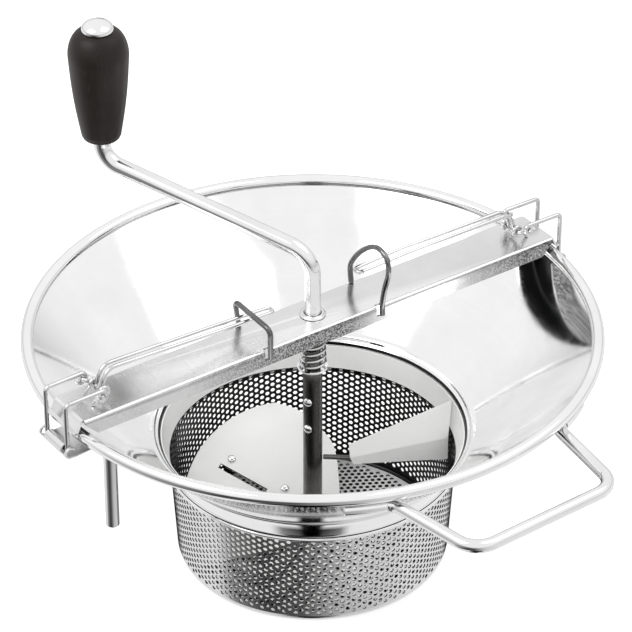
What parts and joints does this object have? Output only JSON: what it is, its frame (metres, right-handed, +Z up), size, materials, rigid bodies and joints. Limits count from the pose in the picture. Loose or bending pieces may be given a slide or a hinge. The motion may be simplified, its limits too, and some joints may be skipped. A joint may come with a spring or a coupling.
{
  "type": "rotary food mill",
  "caption": "Hand-cranked rotary food mill with a wide dish, a sieve drum, a slanted blade and a latched bridge bar.",
  "frame": {"origin": "centre of the drum's flat floor, on which the mill stands", "axes": "+Z up the crank's shaft, X along the bridge bar, the carrying handle points to -Y"},
  "size_m": [0.3876, 0.4211, 0.3535],
  "materials": {
    "polished_steel": "mirror-polished stainless sheet",
    "sieve_steel": "bright perforated stainless sheet",
    "rod_steel": "polished stainless rod",
    "wire_steel": "bright drawn stainless wire",
    "grip_plastic": "satin moulded plastic, near black"
  },
  "bodies": {
    "bowl_set": {"bowl": "polished_steel", "sieve_drum": "sieve_steel", "bridge_bar": "polished_steel", "shaft_ring": "polished_steel", "carrying_handle": "rod_steel", "support_leg_left": "rod_steel", "support_leg_right": "rod_steel", "catch_left": "polished_steel", "catch_right": "polished_steel", "latch_eye_left": "wire_steel", "latch_eye_right": "wire_steel"},
    "thrust_set": {"thrust_spring": "wire_steel", "spring_washer": "rod_steel"},
    "crank_set": {"crank_rod": "rod_steel", "grip_cap": "polished_steel", "hub_sleeve": "rod_steel", "hub_pin_1": "rod_steel", "hub_pin_2": "rod_steel", "blade": "polished_steel", "blade_brace": "rod_steel", "blade_rivet_1": "rod_steel", "blade_rivet_2": "rod_steel", "wing": "polished_steel", "wing_arm": "rod_steel"},
    "grip_set": {"grip": "grip_plastic"},
    "hoop_left_set": {"hoop_left": "wire_steel"},
    "hoop_right_set": {"hoop_right": "wire_steel"},
    "lever_left_set": {"latch_lever_left": "wire_steel"},
    "lever_right_set": {"latch_lever_right": "wire_steel"},
    "bail_left_set": {"latch_bail_left": "wire_steel"},
    "bail_right_set": {"latch_bail_right": "wire_steel"}
  },
  "joints": [
    {"name": "rotor_lift", "type": "slide", "parent": "bowl_set", "child": "thrust_set", "axis": [0, 0, 1], "range_m": [0, 0.004], "stiffness_N_per_m": 1500, "springref_m": -0.01, "deforming": ["thrust_spring"]},
    {"name": "crank_spin", "type": "hinge", "parent": "thrust_set", "child": "crank_set", "pos_m": [0, 0, 0.13], "axis": [0, 0, 1], "continuous": true},
    {"name": "grip_spin", "type": "hinge", "parent": "crank_set", "child": "grip_set", "pos_m": [-0.0737, 0.12765, 0.3], "axis": [0, 0, 1], "continuous": true},
    {"name": "hoop_left_turn", "type": "hinge", "parent": "bowl_set", "child": "hoop_left_set", "pos_m": [-0.045, -0.0186, 0.18], "axis": [0, 0, -1], "range_deg": [0, 80]},
    {"name": "hoop_right_turn", "type": "hinge", "parent": "bowl_set", "child": "hoop_right_set", "pos_m": [0.041, -0.0186, 0.18], "axis": [0, 0, 1], "range_deg": [0, 80]},
    {"name": "lever_left_lift", "type": "hinge", "parent": "bowl_set", "child": "lever_left_set", "pos_m": [-0.159, 0, 0.1838], "axis": [0, -1, 0], "range_deg": [0, 0.8]},
    {"name": "lever_right_lift", "type": "hinge", "parent": "bowl_set", "child": "lever_right_set", "pos_m": [0.159, 0, 0.1838], "axis": [0, 1, 0], "range_deg": [0, 2.8]},
    {"name": "bail_left_swing", "type": "hinge", "parent": "lever_left_set", "child": "bail_left_set", "pos_m": [-0.1645, 0, 0.1863], "axis": [0, -1, 0], "range_deg": [-0.8, 0]},
    {"name": "bail_right_swing", "type": "hinge", "parent": "lever_right_set", "child": "bail_right_set", "pos_m": [0.1645, 0, 0.1863], "axis": [0, 1, 0], "range_deg": [-2.8, 0]}
  ],
  "couplings": [
    {"joint": "bail_left_swing", "follows": "lever_left_lift", "ratio": -1},
    {"joint": "bail_right_swing", "follows": "lever_right_lift", "ratio": -1}
  ]
}
